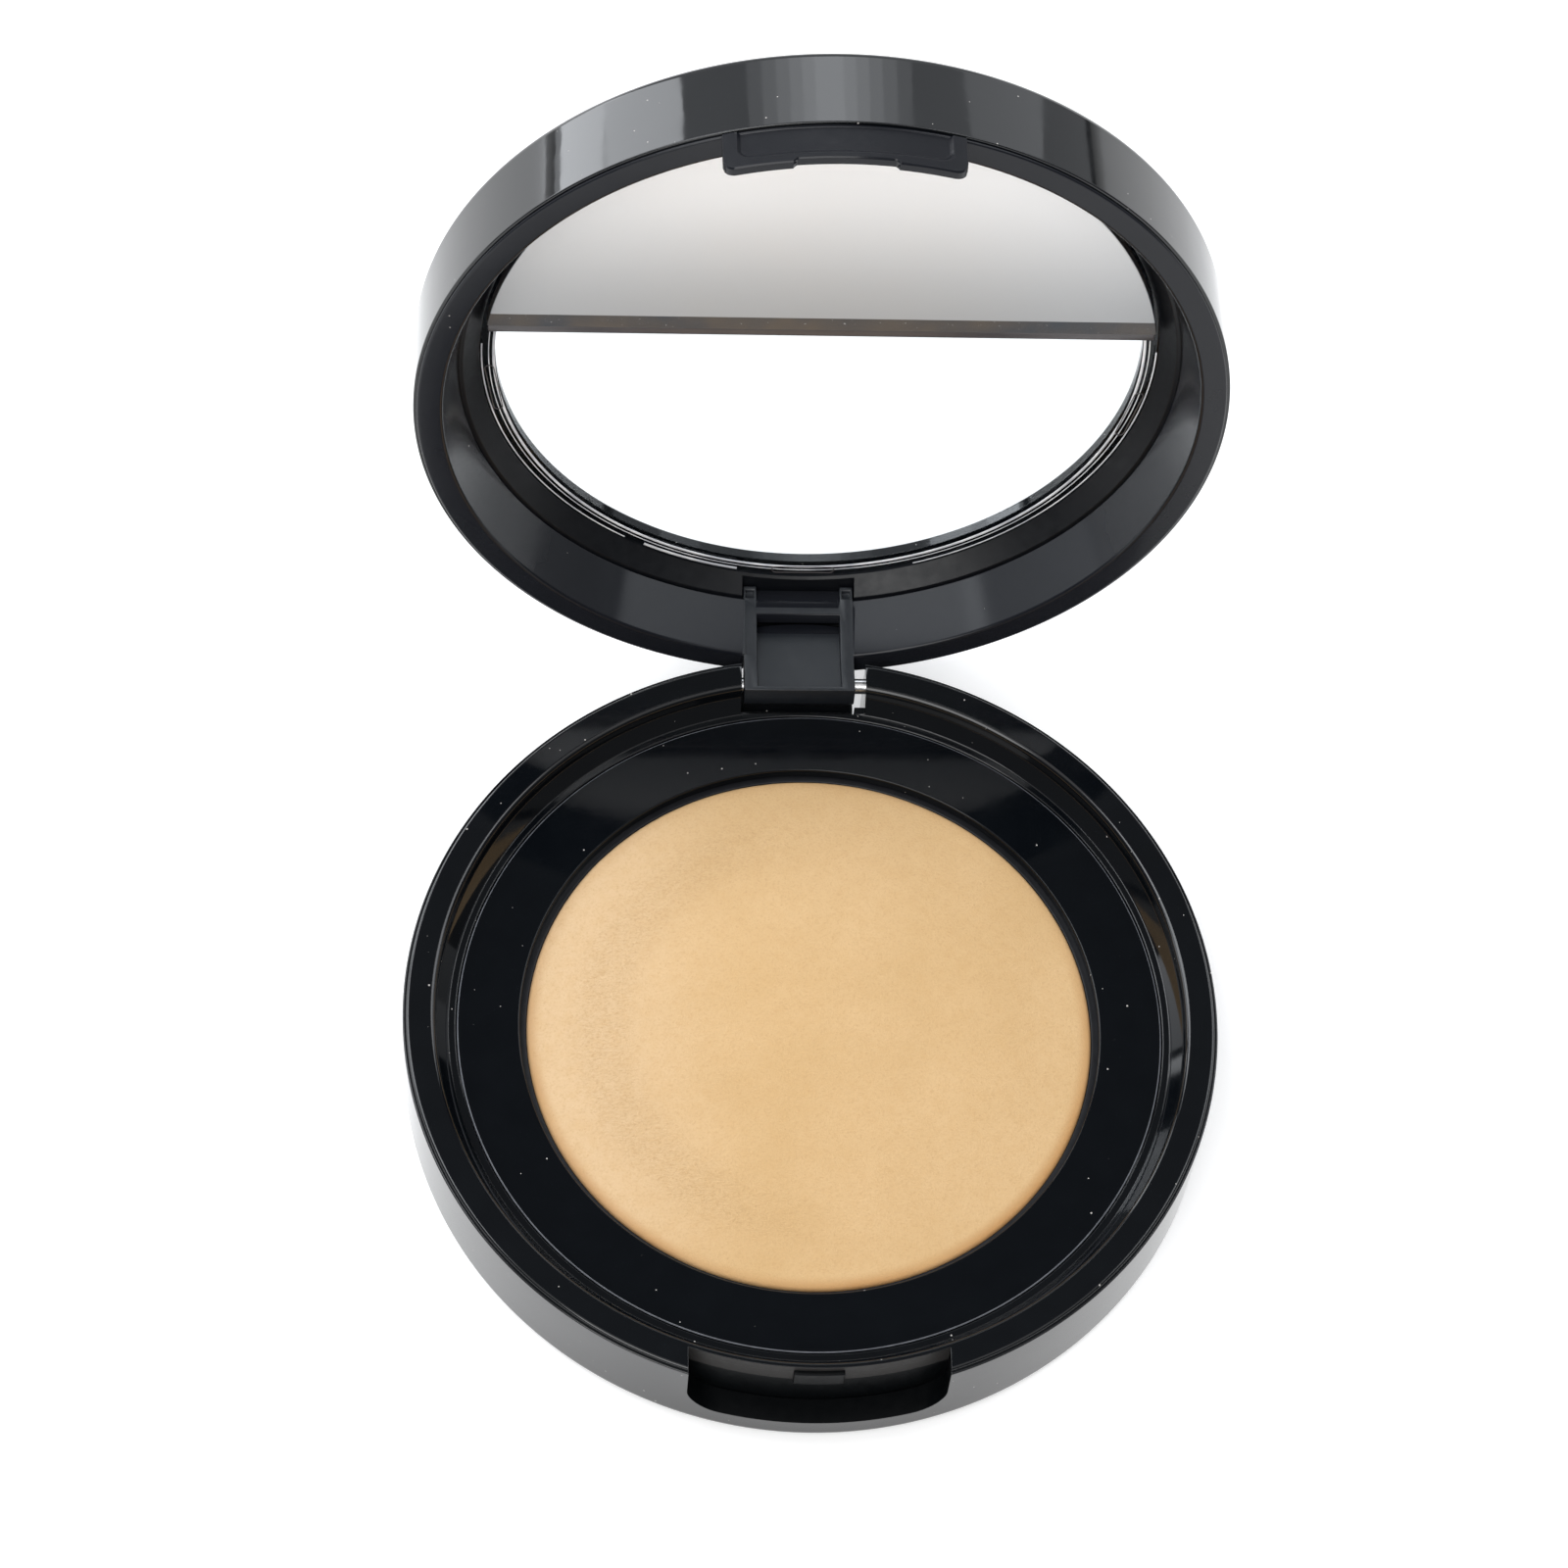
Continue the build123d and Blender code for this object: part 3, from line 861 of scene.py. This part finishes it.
def make_lid_frame():
    """Inner frame of the lid, with the hinge link (material 1) and the latch tab (material 2, a darker,
    duller painted shade).
    """
    rim_inner, wall_radius, wall_height = 34.7, 36.0, lid_bottom + 2.9
    step_outer, step_inner = 34.2, 33.2
    frame_body = lathe("lid_frame_body", [
        (rim_inner, lid_bottom, 0.3), (lid_rim_radius, lid_bottom, 0.2), (lid_rim_radius, lap_top, 0),
        (wall_radius, lap_top, 0), (wall_radius, wall_height, 0),
        (step_outer, step_height, 0), (step_inner, step_height, 0.12),
    ])
    room_low = (link_left + 0.2, link_front_y, lid_bottom - 1)
    room_high = (link_right - 0.2, panel_y + 0.1, step_height + 1)
    combine(frame_body, block("link_room", room_low, room_high))
    combine(frame_body, make_link(), "UNION")
    combine(frame_body, make_tab(), "UNION")

    def on_link(middle, normal):
        between_rails = link_left + link_rail < middle.x < link_right - link_rail
        beside = middle.y < 30 or not link_left - 0.05 < middle.x < link_right + 0.05
        return not beside and not (between_rails and middle.z > gate_bottom - 0.05)

    def on_tab(middle, normal):
        at_front = middle.y < -30 and abs(middle.x) < tab_half_width + 0.05
        return at_front and middle.z < lid_bottom + 0.02 and normal.z > -0.5

    paint(frame_body, 1, on_link)
    paint(frame_body, 2, on_tab)
    return frame_body


def make_window():
    """Clear disc with a flange round its inner face."""
    plug_radius, flange_top = 29.85, lid_top - 1.15
    return lathe("window_disc", [
        (0, window_face, 0), (window_radius, window_face, 0.1), (window_radius, flange_top, 0),
        (plug_radius, flange_top, 0), (plug_radius, lid_top, 0.2), (0, lid_top, 0),
    ])


def make_ledge():
    """Bar across the window that the mirror's straight edge rests on."""
    low, high, depth = mirror_edge_y + 0.1, mirror_edge_y + 1.3, 0.9
    reach = math.sqrt((mirror_radius - 0.1) ** 2 - low**2)
    ledge_low = (-reach, low, window_face - depth)
    ledge = block("window_ledge", ledge_low, (reach, high, window_face - 0.01))
    soften(ledge, 0.15)
    return ledge


def half_moon(name, corners, edge_y, strip=0.0):
    """Turned disc cut off at its straight edge; material 1 on its sides and on a strip along the edge."""
    disc = lathe(name, corners)
    bm = bmesh.new()
    bm.from_mesh(disc.data)
    cut = bmesh.ops.bisect_plane(
        bm, geom=bm.verts[:] + bm.edges[:] + bm.faces[:], plane_co=(0, edge_y * MM, 0),
        plane_no=(0, 1, 0), clear_outer=True,
    )
    rim = [item for item in cut["geom_cut"] if isinstance(item, bmesh.types.BMEdge)]
    bmesh.ops.holes_fill(bm, edges=rim, sides=0)
    if strip:
        bmesh.ops.bisect_plane(
            bm, geom=bm.verts[:] + bm.edges[:] + bm.faces[:], plane_co=(0, (edge_y - strip) * MM, 0),
            plane_no=(0, 1, 0),
        )
    bm.to_mesh(disc.data)
    bm.free()
    paint(disc, 1, lambda middle, normal: middle.y > edge_y - strip or abs(normal.z) < 0.5)
    return disc


def make_mirror():
    """Half-moon mirror; the strip behind its straight edge is painted with the ground edge as seen
    through the glass and mirrored in the silvering, a painted reflection.
    """
    back, ground_strip = mirror_face + 1.18, 1.55
    return half_moon("mirror_glass", [
        (0, mirror_face, 0), (mirror_radius, mirror_face, 0.12), (mirror_radius, back, 0), (0, back, 0),
    ], mirror_edge_y, ground_strip)


def make_film():
    """Adhesive film that holds the mirror to the window."""
    face, radius, edge_inset = mirror_face + 1.2, mirror_radius - 1.0, 0.8
    back = face + 0.09
    return half_moon("mirror_film_sheet", [
        (0, face, 0), (radius, face, 0), (radius, back, 0), (0, back, 0),
    ], mirror_edge_y - edge_inset)


def window_rib(name, radius, tube, start, end):
    """Fine raised line round the window's rim, between two turns from the hinge side."""
    sides, flattening = 10, 0.6
    bm = bmesh.new()
    rings = []
    for turn in spread(start, end, 240):
        ring = []
        for side in range(sides):
            around = 2 * math.pi * side / sides
            reach = radius + tube * math.cos(around)
            height = window_face - tube * flattening * math.sin(around)
            ring.append(bm.verts.new((reach * math.sin(turn), reach * math.cos(turn), height)))
        rings.append(ring)
    for ring, next_ring in zip(rings, rings[1:]):
        bridge(bm, ring, next_ring)
    bm.faces.new(rings[0])
    bm.faces.new(rings[-1])
    return new_object(name, bm)


def snap_mark(name, turn, width):
    """Thin raised outline of a snap slot, on the window's flange."""
    middle, half_depth, rise, corner = 30.55, 0.42, 0.06, 0.4
    tube, sides = 0.055, 8
    loop = rounded([
        (-width / 2, -half_depth, corner), (width / 2, -half_depth, corner),
        (width / 2, half_depth, corner), (-width / 2, half_depth, corner),
    ], steps=6)
    bm = bmesh.new()
    rings = []
    for index, point in enumerate(loop):
        ahead = loop[(index + 1) % len(loop)] - loop[index - 1]
        across = Vector((ahead.y, -ahead.x)).normalized()
        ring = []
        for side in range(sides):
            around = 2 * math.pi * side / sides
            flat = point + across * (tube * math.cos(around))
            radius, angle = middle + flat.y, turn + flat.x / middle
            height = window_face - rise - tube * math.sin(around)
            ring.append(bm.verts.new((radius * math.sin(angle), radius * math.cos(angle), height)))
        rings.append(ring)
    for ring, next_ring in zip(rings, rings[1:] + rings[:1]):
        bridge(bm, ring, next_ring)
    return new_object(name, bm)


# ------------------------------------------------------------------ put the pieces in place
black = gloss_black("black_gloss_plastic")
plate_black = gloss_black("plate_gloss_plastic", 0.25)
inner_black = lid_black()
powder = baked_powder()
link_black = satin_black("link_satin_plastic", (0.010, 0.0125, 0.016), (0.016, 0.0185, 0.023))
# Painted shade: the latch tab's darker, duller copy of the frame's black.
tab_painted_shade = satin_black("tab_painted_shade_plastic", (0.003, 0.0035, 0.006), (0.006, 0.007, 0.010), 0.2)
# Painted shade: near-black, barely shining satin inside the thumb recess.
sill_painted_shade = satin_black("sill_painted_shade_plastic", (0.0015, 0.002, 0.0025), (0.003, 0.0035, 0.004), 0.08)
# Painted reflection: a greyer satin on the recess wall above the painted line.
recess_reflection_grey = satin_black("recess_painted_reflection", (0.022, 0.021, 0.020), (0.034, 0.032, 0.031), 0.1)
film_grey = satin_black("film_plastic", (0.050, 0.052, 0.056), (0.066, 0.068, 0.073), 0.3)
# Painted highlight on the rounding of the plate's outer edge.
plate_edge_highlight = satin_black("plate_edge_painted_highlight", (0.02, 0.023, 0.03), (0.20, 0.21, 0.235))
# Painted shade: near-black satin on the lid's liner step.
liner_painted_shade = satin_black("liner_painted_shade_plastic", (0.003, 0.0035, 0.005), (0.005, 0.006, 0.008), 0.3)
pan_black = satin_black("pan_satin_plastic", (0.003, 0.0035, 0.005), (0.006, 0.0065, 0.009), 0.3)
clear = clear_plastic()
silver = silvered_glass()
edge_glass = ground_edge()
ledge_painted_light = painted_ledge_light()
rib_highlight_paint = painted_rib_highlight()
pin_steel = steel()
pale_glue = glue()


def finish_piece(obj, body, nodes, slot, *materials):
    """Shades a piece, gives it its materials, opens it with the lid and ties it to the CAD."""
    shade(obj)
    if body == "lid":
        obj.data.transform(opened)
    for material in materials:
        obj.data.materials.append(material)
    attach(obj, body)
    if nodes:
        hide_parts(*nodes)


finish_piece(make_base_shell(), "base", ["base_shell"], "black_gloss", black, sill_painted_shade)
finish_piece(make_base_frame(), "base", ["base_frame"], "black_gloss", black, sill_painted_shade, recess_reflection_grey)
finish_piece(make_plate(), "base", ["powder_plate"], "black_gloss", plate_black, plate_edge_highlight)
finish_piece(make_pan(), "base", ["powder_pan"], "pan_plastic", pan_black)
finish_piece(make_cake(), "base", ["powder_cake"], "pressed_powder", powder)
finish_piece(make_lid_shell(), "lid", ["lid_shell"], "black_gloss", black, liner_painted_shade)
finish_piece(make_lid_frame(), "lid", ["lid_frame"], "black_gloss", inner_black, link_black, tab_painted_shade)
finish_piece(make_window(), "lid", ["window"], "clear_plastic", clear)
finish_piece(make_ledge(), "lid", [], "clear_plastic", ledge_painted_light)
finish_piece(make_mirror(), "lid", ["mirror"], "mirror_glass", silver, edge_glass)
finish_piece(make_film(), "lid", ["mirror_film"], "adhesive", film_grey, film_grey)

# The ribs carry painted highlights along the window's clear edges.
# Each rib: radius, thickness from its middle, then start and end in degrees from the hinge side.
ribs = [
    (30.10, 0.13, -97, 97), (30.55, 0.05, -95, 95), (31.2, 0.07, -92, -34), (31.2, 0.07, 20, 92),
    (31.05, 0.14, -30, -12),
]
for number, (radius, tube, start_deg, end_deg) in enumerate(ribs):
    rib = window_rib(f"window_rib_{number}", radius, tube, math.radians(start_deg), math.radians(end_deg))
    finish_piece(rib, "lid", [], "clear_plastic", rib_highlight_paint)

# The snap marks take the ledge's colour: painted light caught in thin clear ridges.
mark_width = 6.0
for number, turn_deg in enumerate((0, 76, -81)):
    mark = snap_mark(f"snap_mark_{number}", math.radians(turn_deg), mark_width)
    finish_piece(mark, "lid", [], "clear_plastic", ledge_painted_light)

for node_name, material in (("hinge_pin", pin_steel), ("pan_adhesive", pale_glue)):
    frame["nodes"][node_name].data.materials.clear()
    frame["nodes"][node_name].data.materials.append(material)


# ------------------------------------------------------------------ floor, light and camera
LIGHT_TARGET = Vector((0, 0.02, 0.04))    # metres
WHITE = (1, 1, 1)
COOL_WHITE = (0.93, 0.96, 1.0)


def make_floor():
    """Large white floor that glows a little, as a lit studio table does."""
    half = 3.0
    bm = bmesh.new()
    bm.faces.new([bm.verts.new((x * half, y * half, 0)) for x, y in ((-1, -1), (1, -1), (1, 1), (-1, 1))])
    mesh = bpy.data.meshes.new("floor")
    bm.to_mesh(mesh)
    bm.free()
    floor = bpy.data.objects.new("floor", mesh)
    bpy.context.scene.collection.objects.link(floor)
    material, tree, shader = new_material(
        "white_floor", Roughness=0.9, Emission_Color=(*WHITE, 1), Emission_Strength=0.38
    )
    cloud = noise_field(tree, place(tree), 6)
    tint = mix_colours(tree, cloud, (0.79, 0.79, 0.79), (0.81, 0.81, 0.81))
    tree.links.new(tint, shader.inputs["Base Color"])
    floor.data.materials.append(material)


def panel(name, azimuth, elevation, distance, width, height, radiance, colour=COOL_WHITE):
    """Softbox aimed at the compact; azimuth clockwise from the back and elevation in degrees."""
    turn, rise = math.radians(azimuth), math.radians(elevation)
    away = Vector((math.sin(turn) * math.cos(rise), math.cos(turn) * math.cos(rise), math.sin(rise)))
    light = bpy.data.lights.new(name, "AREA")
    light.shape = "RECTANGLE"
    light.size, light.size_y = width, height
    light.energy = radiance * math.pi * width * height
    light.color = colour
    obj = bpy.data.objects.new(name, light)
    obj.location = LIGHT_TARGET + away * distance
    obj.rotation_euler = (LIGHT_TARGET - obj.location).to_track_quat("-Z", "Y").to_euler()
    bpy.context.scene.collection.objects.link(obj)


def make_lights():
    """Large front and top boxes light the powder; cooler panels behind draw the gloss on the lid."""
    panel("front_box", 205, 49, 1.25, 0.9, 0.9, 3.95, WHITE)
    panel("top_box", 180, 82, 1.2, 1.9, 1.1, 0.85, WHITE)
    panel("back_wash", 0, 22, 1.7, 2.8, 1.0, 0.8)
    for layer, width in enumerate((0.56, 0.47, 0.38, 0.29, 0.20, 0.11)):
        panel(f"back_panel_{layer}", 1, 35, 1.0 + 0.03 * layer, width, 0.24, 0.55)
    panel("back_left_panel", -44, 14, 1.2, 0.56, 0.52, 4.4)
    panel("back_left_low", -44, 6, 1.15, 0.56, 0.22, 1.8)
    panel("back_right_panel", 46, 14, 1.2, 0.84, 0.52, 0.6)
    panel("left_low_panel", -69, 20, 1.25, 0.44, 0.95, 2.3)
    panel("left_high_panel", -52, 54, 1.3, 0.62, 0.80, 5.2)
    panel("right_low_panel", 65, 12, 1.25, 0.50, 0.66, 0.6)
    panel("right_high_panel", 58, 48, 1.3, 0.50, 0.92, 3.4)


def make_world():
    """Faint even light from all round, shown without a film-like tone curve."""
    world = bpy.data.worlds.new("studio")
    world.use_nodes = True
    background = world.node_tree.nodes["Background"]
    background.inputs["Color"].default_value = (*WHITE, 1)
    background.inputs["Strength"].default_value = 0.12
    bpy.context.scene.world = world
    bpy.context.scene.view_settings.view_transform = "Standard"


def make_camera():
    """Camera above the front of the compact, turned a little about its own axis."""
    azimuth, elevation, roll = (math.radians(value) for value in (-6.4296, 61.0618, 6.1377))
    position = Vector((-0.0275, -0.2009, 0.4203))
    back = Vector((
        math.sin(azimuth) * math.cos(elevation),
        -math.cos(azimuth) * math.cos(elevation),
        math.sin(elevation),
    ))
    level_right = (-back).cross(Vector((0, 0, 1))).normalized()
    level_up = back.cross(level_right)
    right = level_right * math.cos(roll) + level_up * math.sin(roll)
    up = level_up * math.cos(roll) - level_right * math.sin(roll)
    camera = bpy.data.objects.new("camera", bpy.data.cameras.new("camera"))
    camera.data.sensor_width = 36
    camera.data.lens = 112.585
    camera.data.clip_start = 0.01
    turn = Matrix((right, up, back)).transposed().to_4x4()
    camera.matrix_world = Matrix.Translation(position) @ turn
    bpy.context.scene.collection.objects.link(camera)
    bpy.context.scene.camera = camera


make_floor()
make_lights()
make_world()
make_camera()
